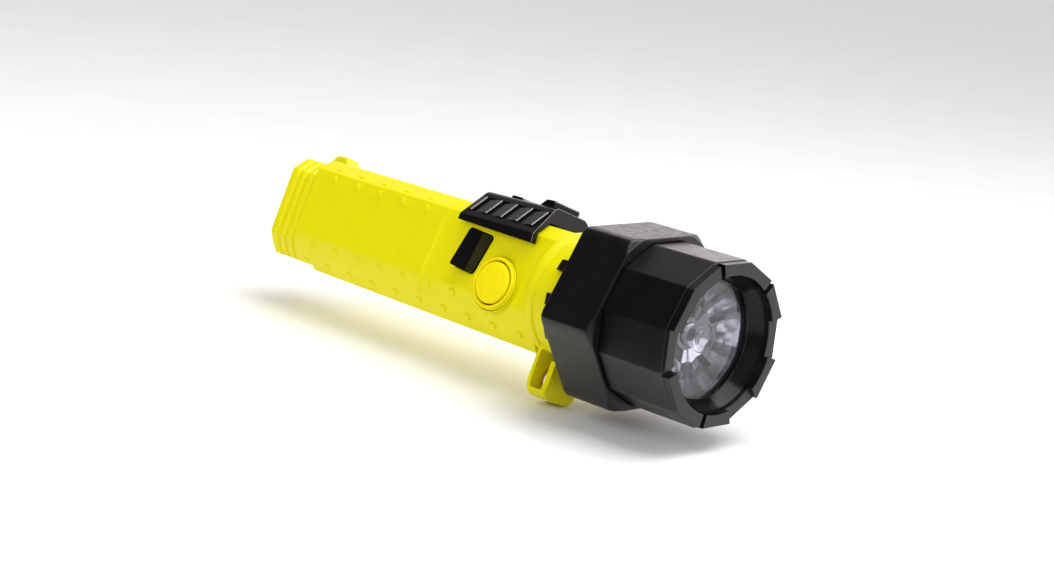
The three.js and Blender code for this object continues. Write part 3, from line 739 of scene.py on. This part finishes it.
def side_openings():
    seat = ring_high.y
    button_hole = [(seat - 2, 0), (seat - 2, BUTTON_R + 0.7), (seat, BUTTON_R + 0.7),
                   (seat + 0.3, BUTTON_R + 0.4), (BOSS_FOOT, BUTTON_R + 0.4), (BOSS_FOOT, 0)]
    to_key = key_axes()[0]
    return [
        turned("button_hole", button_hole, TO_HANDLE, 96, "Y", BUTTON),
        prism("key_hole", key_outline(0.4), -20, BOSS_FOOT, to_key, axis="Y"),
        pin_hole(pin_low.x - 0.3, pin_high.x + 0.3),
    ]


def screw_holes():
    holes = []
    for node in ("rail_screw_1", "rail_screw_2"):
        low, high = span(node, TO_HANDLE)
        middle = ((low.x + high.x) / 2, 0, 0)
        holes.append(rod("screw_hole", low.z - 0.3, TOP + 1, SCREW_HOLE_R, TO_HANDLE, 24, "Z", middle))
    return holes


def body_shell():
    shell = shell_skin()
    join(shell, tail_nub(), lanyard_lug(), button_boss(), grip_pips())
    cut(shell, hollow(14.6, -16.6, TAIL + TAIL_WALL, BAND_FRONT + 2),
        hollow(17.3, -16.8, BAND_FRONT + 1, FLANGE_REAR + 3.5),
        rod("bore", FLANGE_REAR + 3.0, NECK_FRONT + 1, NECK_BORE_R, TO_HANDLE),
        *side_openings(), *screw_holes())
    shell.name = "body_shell.moulding"
    return finish_piece(shell, "handle", "yellow_shell", YELLOW, "body_shell")


# ---- push button and key ----


def button_ring():
    """A lip round the button, with a rounded crest."""
    inner, outer, low, high = BUTTON_R + 0.5, RING_R - 0.3, RING_FACE, ring_high.y
    crest = [(low + 0.55 * (1 - math.sin(a)), (inner + outer) / 2 + (outer - inner) / 2 * math.cos(a))
             for a in np.linspace(0, math.pi, 13)]
    profile = [(high, inner), (high, outer)] + crest
    ring = turned("button_ring.lip", profile, TO_HANDLE, 96, "Y", BUTTON)
    return finish_piece(ring, "handle", "yellow_shell", SOFT_YELLOW, "button_ring", sharp=50)


def button_cap():
    """A soft domed cap with a shallow ring pressed into it."""
    face, back, radius = cap_low.y, cap_high.y, BUTTON_R
    profile = [(back, 0), (back, radius), (face + 1.5, radius)]
    turns = np.linspace(0.2, 1.57, 7)
    profile += [(face + 1.5 - math.sin(a), radius - 0.9 + 0.9 * math.cos(a)) for a in turns]
    for r in np.linspace(radius - 1.2, 0.4, 22):
        dent = 0.16 * math.exp(-((r - 4.9) / 0.35) ** 2)
        profile.append((face + 0.5 * (r / radius) ** 2 + dent, r))
    profile.append((face, 0))
    cap = turned("button_cap.dome", profile, TO_HANDLE, 96, "Y", BUTTON)
    return finish_piece(cap, "button", "yellow_shell", SOFT_YELLOW, "button_cap", sharp=60)


def key_axes():
    """The key's own axes, turned in the side's plane, and half its length and height."""
    middle = (key_low + key_high) / 2
    reach = (key_high - key_low) / 2
    half_length = (reach.x - reach.z * KEY_SLANT) / (1 - KEY_SLANT ** 2)
    half_height = (reach.z - reach.x * KEY_SLANT) / (1 - KEY_SLANT ** 2)
    place = Matrix.Translation((middle.x, 0, middle.z)) @ Matrix.Rotation(math.atan(KEY_SLANT), 4, "Y")
    return TO_HANDLE @ place, half_length, half_height


def key_outline(margin):
    """The key's outline with a margin round it. It is narrower at its lower end."""
    _, length, height = key_axes()
    corners = [(-length - margin, -height - margin), (length - KEY_TAPER + margin, -height - margin),
               (length + margin, height + margin), (-length - margin, height + margin)]
    return rounded(corners, 0.9 + margin)


def key_cap():
    """A rocker face that stands proud at its lower end. A second facet falls from its ridge to the side."""
    to_key, length, height = key_axes()
    body = prism("key", key_outline(0), key_low.y - 1, key_high.y, to_key, axis="Y")
    slab = []
    for z in (-height - 1, height + 1):
        share = (height - z) / (2 * height)
        face = KEY_TOP_FACE - KEY_LEAN * share
        ridge, foot = 0.7 + 1.4 * share, length - (KEY_TAPER - 0.1) * share
        slab.append([(-length - 3, face + 0.1, z), (ridge, face, z), (foot, KEY_FOOT, z),
                     (length + 3, KEY_FOOT, z), (length + 3, face - 6, z), (-length - 3, face - 6, z)])
    cut(body, loft("slab", slab, to_key))
    heel = [(-12.6, key_low.z - 1), (-5, key_low.z - 1), (-5, 6.6), (-10.9, 6.6), (-12.6, 5.4)]
    cut(body, prism("heel", heel, key_low.x - 1, key_high.x + 1, TO_HANDLE))
    bevel(body, 0.3, 3, 12)
    cut(body, pin_hole(key_low.x - 1, key_high.x + 1))
    body.name = "key_cap.rocker"
    piece = finish_piece(body, "key", "black_gloss", GLOSS, "key_cap")
    # The facet past the ridge gets the second material, a painted reflection of the yellow.
    piece.data.materials.append(KEY_PAINTED_REFLECTION)
    from_key = to_key.inverted()
    for face in piece.data.polygons:
        at = from_key @ face.center
        past_ridge = at.x > 0.9 + 0.7 * (1 - at.z / height)
        if at.y < -SIDE and past_ridge and abs(at.z) < height - 0.1:
            face.material_index = 1
    return piece


# ---- slide ----

RIDGE_Z = 23.6
RIDGE_HALF = 7.7
SKIRT_Z = 13.6
SADDLE_HALF = saddle_high.y
SADDLE_RISE = 0.026
SLOPE = Vector((SADDLE_HALF - RIDGE_HALF, SKIRT_Z - RIDGE_Z)).normalized()
SLOPE_OUT = Vector((-SLOPE.y, SLOPE.x))
RIB_PITCH = 7.0
RIB_COUNT = 5
RIB_HEIGHT = 0.5
FIRST_RIB = saddle_high.x - 4.1
SADDLE_SLANT = 0.23
STOP_REAR = -85.2
BUMP_REAR = -98.6
STOP_FOOT = 21.5
STOP_HALF = 6.5


def on_slope(x, run, lift, side):
    """A point on the slide's slope: run down from the ridge, lift out of it."""
    ridge = RIDGE_Z + SADDLE_RISE * (x - saddle_low.x)
    y = RIDGE_HALF + SLOPE.x * run + SLOPE_OUT.x * lift
    return (x, side * y, ridge + SLOPE.y * run + SLOPE_OUT.y * lift)


def slope_bar(name, rear, front, top, bottom, low, rear_lift, front_lift, side, edge=0.0):
    """A bar lying on the slope, with its own height at each end and a chamfer along its front edge."""
    rings = []
    for x, lift in ((rear, rear_lift), (front, front_lift), (front + edge, front_lift - edge)):
        corners = ((top, low), (bottom, low), (bottom, lift), (top, lift))
        rings.append([on_slope(x, run, out, side) for run, out in corners])
    return loft(name, rings if edge else rings[:2], TO_HANDLE)


def saddle_body():
    """A ridge, two slopes and short skirts; its front end leans back and comes down close to the handle."""
    low, high = saddle_low, saddle_high
    foot = low.z + 0.2
    corners = [(RIDGE_HALF, RIDGE_Z + 0.4), (SADDLE_HALF, SKIRT_Z), (SADDLE_HALF, foot), (14.5, foot),
               (14.5, 14.9), (9.2, 19.35)]
    radii = [3.4, 0.8, 0.3, 0, 0, 0]
    outline = rounded(both_sides(corners), radii + radii[::-1], 6)
    rings = []
    for share in (0, 1):
        ring = []
        for y, z in outline:
            x = low.x + share * (high.x - SADDLE_SLANT * (z - low.z) - low.x)
            if z > 21:
                rise = SADDLE_RISE * (x - low.x)
            elif z > 14.2:
                rise = 0
            else:
                rise = share * (0.5 if z > 13 else -0.6)
            ring.append((x, y, z + rise))
        rings.append(ring)
    return bevel(loft("saddle", rings, TO_HANDLE), 0.8, 3, 50)


def saw_ribs(side):
    """Steps across one slope: each rises gently towards the head and ends in a steep front."""
    ribs = []
    for i in range(RIB_COUNT):
        front = FIRST_RIB - i * RIB_PITCH
        rear = max(front - RIB_PITCH + 0.4, saddle_low.x + 0.9)
        start = RIB_HEIGHT * (1 - 2 * (front - rear) / RIB_PITCH)
        ribs.append(slope_bar("rib", rear, front, 2.9, 10.9, -1.3, start, RIB_HEIGHT, side, edge=0.3))
    return ribs


def cross_block(profile, rear, radii, steps, edge):
    """A block across the slide's ridge. Its profile of (x, z) is measured from its rear."""
    outline = rounded([(rear + x, z) for x, z in profile], radii, steps)
    return bevel(prism("block", outline, -STOP_HALF, STOP_HALF, TO_HANDLE, axis="Y"), edge, 3, 50)


def slide_saddle():
    saddle = saddle_body()
    rear, front = FIRST_RIB - RIB_COUNT * RIB_PITCH + 6.2, saddle_high.x - 2.4
    pockets = []
    for side in (1, -1):
        pocket = slope_bar("pocket", rear, front, 2.7, 11.1, -RIB_HEIGHT, 2.0, 2.0, side)
        pockets.append(bevel(pocket, 0.3, 2))
    cut(saddle, merged("pockets", pockets))
    join(saddle, merged("ribs", saw_ribs(1) + saw_ribs(-1)))
    stop = [(0, STOP_FOOT), (0, 24.9), (2, 26.9), (6, 27.1), (6, STOP_FOOT)]
    bump = [(0, STOP_FOOT), (0, 24.9), (1, 25.1), (4.7, 25.1), (5.4, 24.6), (5.4, STOP_FOOT)]
    join(saddle, cross_block(stop, STOP_REAR, [0, 0.5, 0.7, 0.7, 0], 4, 0.45),
         cross_block(bump, BUMP_REAR, [0, 0.4, 0.3, 0.4, 0.3, 0], 3, 0.4))
    rear, slot_front = saddle_low.x - 1, rail_high.x + 0.4
    inside = [(14.6, 12.0), (14.6, 14.7), (9.3, 20.3)]
    cut(saddle, prism("hollow", both_sides(inside), rear, slot_front, TO_HANDLE),
        block("slot", (rear, -3.4, 19), (slot_front, 3.4, 21.5), TO_HANDLE),
        block("slot", (rear, -5.4, 21.1), (slot_front, 5.4, 22.6), TO_HANDLE),
        block("magnet_seat", (-84.8, -4.3, 22.2), (-79.7, 4.3, 25.2), TO_HANDLE))
    saddle.name = "slide_saddle.grip"
    piece = finish_piece(saddle, "slide", "black_gloss", GLOSS, "slide_saddle")
    piece.data.materials.append(PAINTED_EDGE_HIGHLIGHT)
    # Faces turned forwards and up, the rib fronts and the front bevel, get the second material, a painted
    # highlight.
    for face in piece.data.polygons:
        if 0.5 < face.normal.x < 0.85 and face.normal.z > 0.25:
            face.material_index = 1
    return piece


# ---- head ----


def flats_radius(angle, count, apothem, k):
    """Distance from the axis to a regular outline of count sides, with soft corners.

    The angle is measured from the middle of a flat.
    """
    step = 2 * math.pi / count
    local = (angle + step / 2) % step - step / 2
    here = apothem / np.cos(local)
    beside = apothem / np.cos(step - np.abs(local))
    return soft_min(here, beside, k)


def crown_front(angle):
    """Where the crown's front lies at an angle: tall and low teeth, and notches between some of them."""
    degrees = np.degrees(angle) % 360
    tooth = np.floor((degrees + 15) / 30).astype(int) % 12
    front = np.where(np.array(TALL_TEETH)[tooth], 0.0, CROWN_LOW)
    for corner in NOTCHED_CORNERS:
        off = np.abs((degrees - (corner + 0.5) * 30 + 180) % 360 - 180)
        front = np.where(off < 2.15, CROWN_NOTCH, front)
    return front


def crown_angles():
    """Angles from the top flat, close together at the corners and on both sides of each step."""
    angles = []
    for k in range(12):
        corner = (k + 0.5) * 30
        offsets = [0.08, 0.35, 0.7, 1.1, 1.6, 2.6, 4, 6, 9, 12]
        if k in NOTCHED_CORNERS:
            offsets += [2.08, 2.22, 2.45]
        angles += [corner + side * d for d in offsets for side in (-1, 1)] + [corner + 15]
    return np.radians(sorted(a % 360 for a in angles))


def head_point(x, radius, angle):
    """Angle is from +Z towards +Y."""
    return (x, radius * math.sin(angle), radius * math.cos(angle))


def swept(name, angles, profile_at):
    """A closed profile of (x, radius) points that may change with the angle, swept round the head's axis."""
    rings = [[head_point(x, r, a) for x, r in profile_at(a)] for a in angles]
    return loft(name, rings, TO_HEAD, closed=True)


def arc(x, r, radius, start, end, steps=3):
    """Points of a rounded edge in a profile, centred at (x, r), angles in degrees from +x towards +r."""
    turns = [math.radians(start + (end - start) * i / steps) for i in range(steps + 1)]
    return [(x + radius * math.cos(t), r + radius * math.sin(t)) for t in turns]


def bezel_profile(angle):
    front = float(crown_front(angle))
    outer = float(flats_radius(angle, 12, HEAD_APOTHEM, 0.3))
    crown = outer - 0.35
    points = [(SLEEVE_REAR, 18.9), (SLEEVE_REAR, SLEEVE_R - 0.3), (SLEEVE_REAR + 0.3, SLEEVE_R),
              (COLLAR_FRONT - 0.6, SLEEVE_R), (COLLAR_FRONT - 0.6, outer)]
    points += arc(CROWN_LEDGE - 0.35, outer - 0.25, 0.25, 90, 10)
    points += [(CROWN_LEDGE - 0.05, crown)]
    points += arc(front - 0.3, crown - 0.3, 0.3, 85, 5)
    points += arc(front - 0.3, MOUTH_R + 0.3, 0.3, -5, -85)
    points += [(CROWN_LEDGE - 0.3, MOUTH_R - 0.02), (CROWN_LEDGE - 0.7, MOUTH_R - 0.25), (-4.6, 20.4),
               (-5.0, 20.05), (-7.0, 18.75), (-7.35, 18.5), (LENS_SEAT, APERTURE_R + 0.1), (LENS_SEAT, 21.2),
               (-30.5, 21.2), (-32.0, 18.9)]
    return points


def head_bezel():
    bezel = swept("head_bezel.crown", crown_angles(), bezel_profile)
    piece = finish_piece(bezel, "head", "black_shell", BLACK, "head_bezel")
    piece.data.materials.append(GLOSS)
    for face in piece.data.polygons:
        at = TO_HEAD.inverted() @ face.center
        if at.x > LENS_SEAT and Vector((at.y, at.z)).length < MOUTH_R:
            face.material_index = 1
    return piece


def collar_outer(x, angle):
    """The hexagon, with its corners cut off by a circle and its front edge by a cone."""
    hexagon = flats_radius(angle, 6, COLLAR_APOTHEM, 1.1)
    limited = soft_min(hexagon, COLLAR_CORNER_R, 0.5)
    cone = 31.0 - max(0.0, x - (COLLAR_FRONT - COLLAR_CHAMFER)) * 1.5
    return float(soft_min(limited, cone, 0.6))


def collar_profile(angle):
    edge = 0.35
    points = [(COLLAR_REAR, SLEEVE_R + 0.1)]
    rear = collar_outer(COLLAR_REAR, angle)
    points += arc(COLLAR_REAR + 1.3, rear - 1.3, 1.3, 180, 92, 5)
    places = stations((COLLAR_REAR + 1.9, 5), (COLLAR_FRONT - 3.0, 0.3), (COLLAR_FRONT - 0.6, 1))
    points += [(x, collar_outer(x, angle)) for x in places]
    front = collar_outer(COLLAR_FRONT - edge, angle)
    points += arc(COLLAR_FRONT - edge, front - edge, edge, 88, 0, 4)
    socket = float(flats_radius(angle, 12, HEAD_APOTHEM + 0.1, 0.3))
    points += [(COLLAR_FRONT, socket + 0.25), (COLLAR_FRONT - 0.25, socket), (COLLAR_FRONT - 0.7, socket),
               (COLLAR_FRONT - 0.7, SLEEVE_R + 0.1)]
    return points


def hex_collar():
    offsets = [-15, -12, -9, -7, -5.5, -4, -3, -2, -1.2, -0.5, 0.5, 1.2, 2, 3, 4, 5.5, 7, 9, 12, 15]
    angles = sorted(((k + 0.5) * 30 + d * 0.95) % 360 for k in range(12) for d in offsets)
    collar = swept("hex_collar.grip", np.radians(angles), collar_profile)
    return finish_piece(collar, "head", "black_rubber", RUBBER, "hex_collar")


def lock_ring():
    """A ring with twelve tabs that reach back over the flange."""
    half = math.degrees(TAB_HALF / TAB_R)

    def profile(angle):
        off = abs((math.degrees(angle) - FIRST_TAB + 15) % 30 - 15)
        reach = TAB_REACH * float(ease((half - off) / 0.5 + 0.5))
        rear = lock_low.x + TAB_REACH - reach
        return [(rear, LOCK_BORE_R), (rear, 21.9), (rear + 0.3, 22.2), (LOCK_STEP, 22.2), (LOCK_STEP, 24.1),
                (LOCK_STEP + 0.1, 24.2), (lock_high.x, 24.2), (lock_high.x, LOCK_BORE_R)]

    marks = [-15, -12, -9, -7, -half - 0.3, -half - 0.1, -half + 0.1, -half + 0.3, -2.5, 0]
    offsets = marks + [-m for m in marks if -15 < m < 0]
    angles = sorted((FIRST_TAB + k * 30 + d) % 360 for k in range(12) for d in offsets)
    ring = swept("lock_ring.tabs", np.radians(angles), profile)
    return finish_piece(ring, "head", "black_shell", BLACK, "lock_ring")


def front_lens():
    """A clear disc whose face stands a little into the aperture."""
    rear, seat = lens_low.x, lens_high.x
    profile = [(rear, 0), (rear, 20.4), (rear + 0.2, 20.6), (seat - 0.2, 20.6), (seat, 20.4), (seat, 18.25)]
    profile += arc(seat + 0.4, 18.0, 0.25, 90, 10, 4)
    for r in (17, 14, 11, 8, 5, 2):
        profile.append((seat + 0.65 + 0.3 * (1 - (r / 17.9) ** 2), r))
    profile.append((seat + 0.95, 0))
    lens = turned("front_lens.disc", profile, TO_HEAD)
    return finish_piece(lens, "head", "clear", CLEAR, "front_lens", sharp=40)


def star(turns, points):
    """A zigzag between -1 and 1, with this many points in a turn."""
    share = (turns * points) % 1.0
    return 1 - 4 * np.abs(share - 0.5)


def tir_optic():
    """The beam optic: a clear bowl with a flat front, and a silvered wall cut into zigzag facets."""
    rear, front = optic_low.x, optic_high.x
    sides = 96
    turns = np.arange(sides) / sides
    rings = []
    for drop, radius in ((0, 2.9), (0, 3.6), (0.3, 3.9), (0.3, 4.3), (0, 4.6), (0, 17.9)):
        rings.append((front - drop, np.full(sides, radius)))
    for t in (0.98, 0.84, 0.66, 0.48, 0.30, 0.0):
        zigzag = 0.45 * math.sin(math.pi * t) * star(turns, 12)
        rings.append((rear + (front - 0.6 - rear) * t * t, 5.0 + 13.0 * t + zigzag))
    for x, radius in ((rear, 3.8), (rear + 4.5, 3.4), (front - 3.9, 0.8)):
        rings.append((x, np.full(sides, radius)))
    angles = 2 * math.pi * turns
    points = [np.stack([np.full(sides, x), r * np.cos(angles), r * np.sin(angles)], 1) for x, r in rings]
    optic = loft("tir_optic.bowl", points, TO_HEAD)
    piece = finish_piece(optic, "light_module", "clear", CLEAR, "tir_optic", sharp=8)
    piece.data.materials.append(SILVERED)
    for face in piece.data.polygons:
        if face.center.x < TO_HEAD.translation.x + (front - 0.4) * 0.001:
            face.material_index = 1
    return piece


def lanyard_eyelet():
    """A rolled metal eyelet, with a flange against the inside of the lug's wall."""
    rear, wall = eyelet_low.x, LUG_REAR + LUG_WALL + 0.05
    profile = [(rear, 1.9), (rear, 3.0), (wall, 3.05), (wall + 0.05, 4.0), (wall + 0.3, 4.15),
               (wall + 0.55, 3.9), (wall + 0.65, 3.5), (wall + 0.5, 3.1), (wall - 0.2, 2.6),
               (wall - 1.0, 1.95)]
    ring = turned("lanyard_eyelet.rolled", profile, TO_HANDLE, 64, centre=(0, 0, EYELET_Z))
    return finish_piece(ring, "handle", "brass", BRASS, "lanyard_eyelet", sharp=50)


# ---- build ----

for make in (body_shell, button_ring, button_cap, key_cap, slide_saddle, head_bezel, hex_collar, lock_ring,
             front_lens, tir_optic, lanyard_eyelet):
    make()

for part in record["subparts"]:
    mesh = nodes[part["node"]].data
    mesh.materials.clear()
    mesh.materials.append(BY_SLOT[part["material_slot"]])

# ---- stage ----

FLOOR_Z = cad_box[0].z
FLOOR_HALF = 12.0
FLAG_EDGE = -0.05
SOFT_LIGHT = (0.2, 1.0)


def floor():
    """White paper. Reflections see it dark towards -Y, and rays through glass see it dim."""
    mesh = bpy.data.meshes.new("floor")
    corners = [(x * FLOOR_HALF, y * FLOOR_HALF, FLOOR_Z) for x, y in ((-1, -1), (1, -1), (1, 1), (-1, 1))]
    mesh.from_pydata(corners, [], [(0, 1, 2, 3)])
    plane = bpy.data.objects.new("floor", mesh)
    bpy.context.scene.collection.objects.link(plane)
    n = Surface("floor_paper")
    path = n.add("ShaderNodeLightPath")
    where = n.add("ShaderNodeSeparateXYZ", Vector=n.place)
    near = n.ramp(where.outputs["Y"], 0.05, 1.0, FLAG_EDGE - 0.06, FLAG_EDGE)
    mirrored = n.blend(path.outputs["Is Glossy Ray"], 1.0, near)
    through = n.blend(path.outputs["Is Transmission Ray"], mirrored, 0.22)
    white = n.ramp(n.noise(40, 3), (0.93, 0.93, 0.93), (0.95, 0.95, 0.95))
    multiply = {"data_type": "RGBA", "blend_type": "MULTIPLY"}
    paper = n.add("ShaderNodeMix", multiply, Factor=1.0, A=white, B=through)
    n.set(Base_Color=paper.outputs["Result"], Roughness=0.9, Specular_IOR_Level=0.1)
    mesh.materials.append(n.material)


def softbox(name, place, target, width, height, power, mirrored=True):
    """An area light that doesn't show through glass, and shows in reflections only if mirrored."""
    light = bpy.data.lights.new(name, "AREA")
    light.shape = "RECTANGLE"
    light.size, light.size_y = width, height
    light.energy = power
    lamp = bpy.data.objects.new(name, light)
    lamp.location = place
    lamp.rotation_mode = "QUATERNION"
    lamp.rotation_quaternion = (Vector(target) - Vector(place)).to_track_quat("-Z", "Y")
    lamp.visible_glossy = mirrored
    lamp.visible_transmission = False
    bpy.context.scene.collection.objects.link(lamp)


def surroundings():
    """A white room for the camera and for soft light.

    Reflections and rays through glass see it dark towards -Y and bright towards +Y.
    """
    world = bpy.data.worlds.new("studio")
    world.use_nodes = True
    world.node_tree.nodes.clear()
    n = Nodes(world.node_tree, "Generated")
    towards = n.add("ShaderNodeSeparateXYZ", Vector=n.place)
    across, ahead = towards.outputs["Y"], towards.outputs["X"]
    behind = n.ramp(n.maths("POWER", n.ramp(across, 0.0, 1.0, -0.2, 0.75), 2.2), 0.02, 2.0, 0.0, 1.0)
    brighter = n.maths("MAXIMUM", behind, n.ramp(ahead, 0.0, 0.5, 0.2, 0.6))
    path = n.add("ShaderNodeLightPath")

    def glow(colour, strength):
        return n.add("ShaderNodeBackground", Color=colour, Strength=strength).outputs[0]

    def choose(ray, when_false, when_true):
        node = n.add("ShaderNodeMixShader", Fac=path.outputs[ray])
        n.feed(node.inputs[1], when_false)
        n.feed(node.inputs[2], when_true)
        return node.outputs[0]

    soft = glow((1, 1, 1), n.ramp(ahead, *SOFT_LIGHT, -0.8, 0.9))
    mirrored = glow((1.0, 0.93, 0.95), brighter)
    through = glow((0.93, 0.91, 1.0), n.ramp(across, 0.15, 1.9, -0.45, 0.55))
    seen = glow((1, 1, 1), 1.0)
    reflected = choose("Is Transmission Ray", mirrored, through)
    unseen = choose("Is Diffuse Ray", reflected, soft)
    n.add("ShaderNodeOutputWorld", Surface=choose("Is Camera Ray", unseen, seen))
    bpy.context.scene.world = world


def studio():
    surroundings()
    middle = ((cad_box[0].x + cad_box[1].x) / 2, 0, 0)
    softbox("overhead", (0.38, 0.12, 0.85), middle, 0.7, 0.6, 6.2)
    softbox("front_fill", (-0.2, -1.1, 0.75), middle, 0.9, 0.6, 3.4, mirrored=False)


# The camera's place is in millimetres from the head's front plane, in the head's axes.
CAMERA_PLACE = Vector((376.5, -476.5, 142.3))
CAMERA_LOOK = Vector((-0.6798, 0.7019, -0.2126))
CAMERA_UP = Vector((-0.2302, 0.0711, 0.9705))
CAMERA_LENS = 71.2


def camera():
    data = bpy.data.cameras.new("camera")
    data.lens = CAMERA_LENS
    data.sensor_width = 36.0
    data.clip_start, data.clip_end = 0.01, 100
    cam = bpy.data.objects.new("camera", data)
    bpy.context.scene.collection.objects.link(cam)
    back = -CAMERA_LOOK.normalized()
    right = CAMERA_UP.cross(back).normalized()
    up = back.cross(right)
    turn = Matrix((right, up, back)).transposed().to_4x4()
    cam.matrix_world = Matrix.Translation(TO_HEAD @ CAMERA_PLACE) @ turn
    bpy.context.scene.camera = cam


bpy.context.scene.view_settings.view_transform = "Standard"
floor()
studio()
camera()
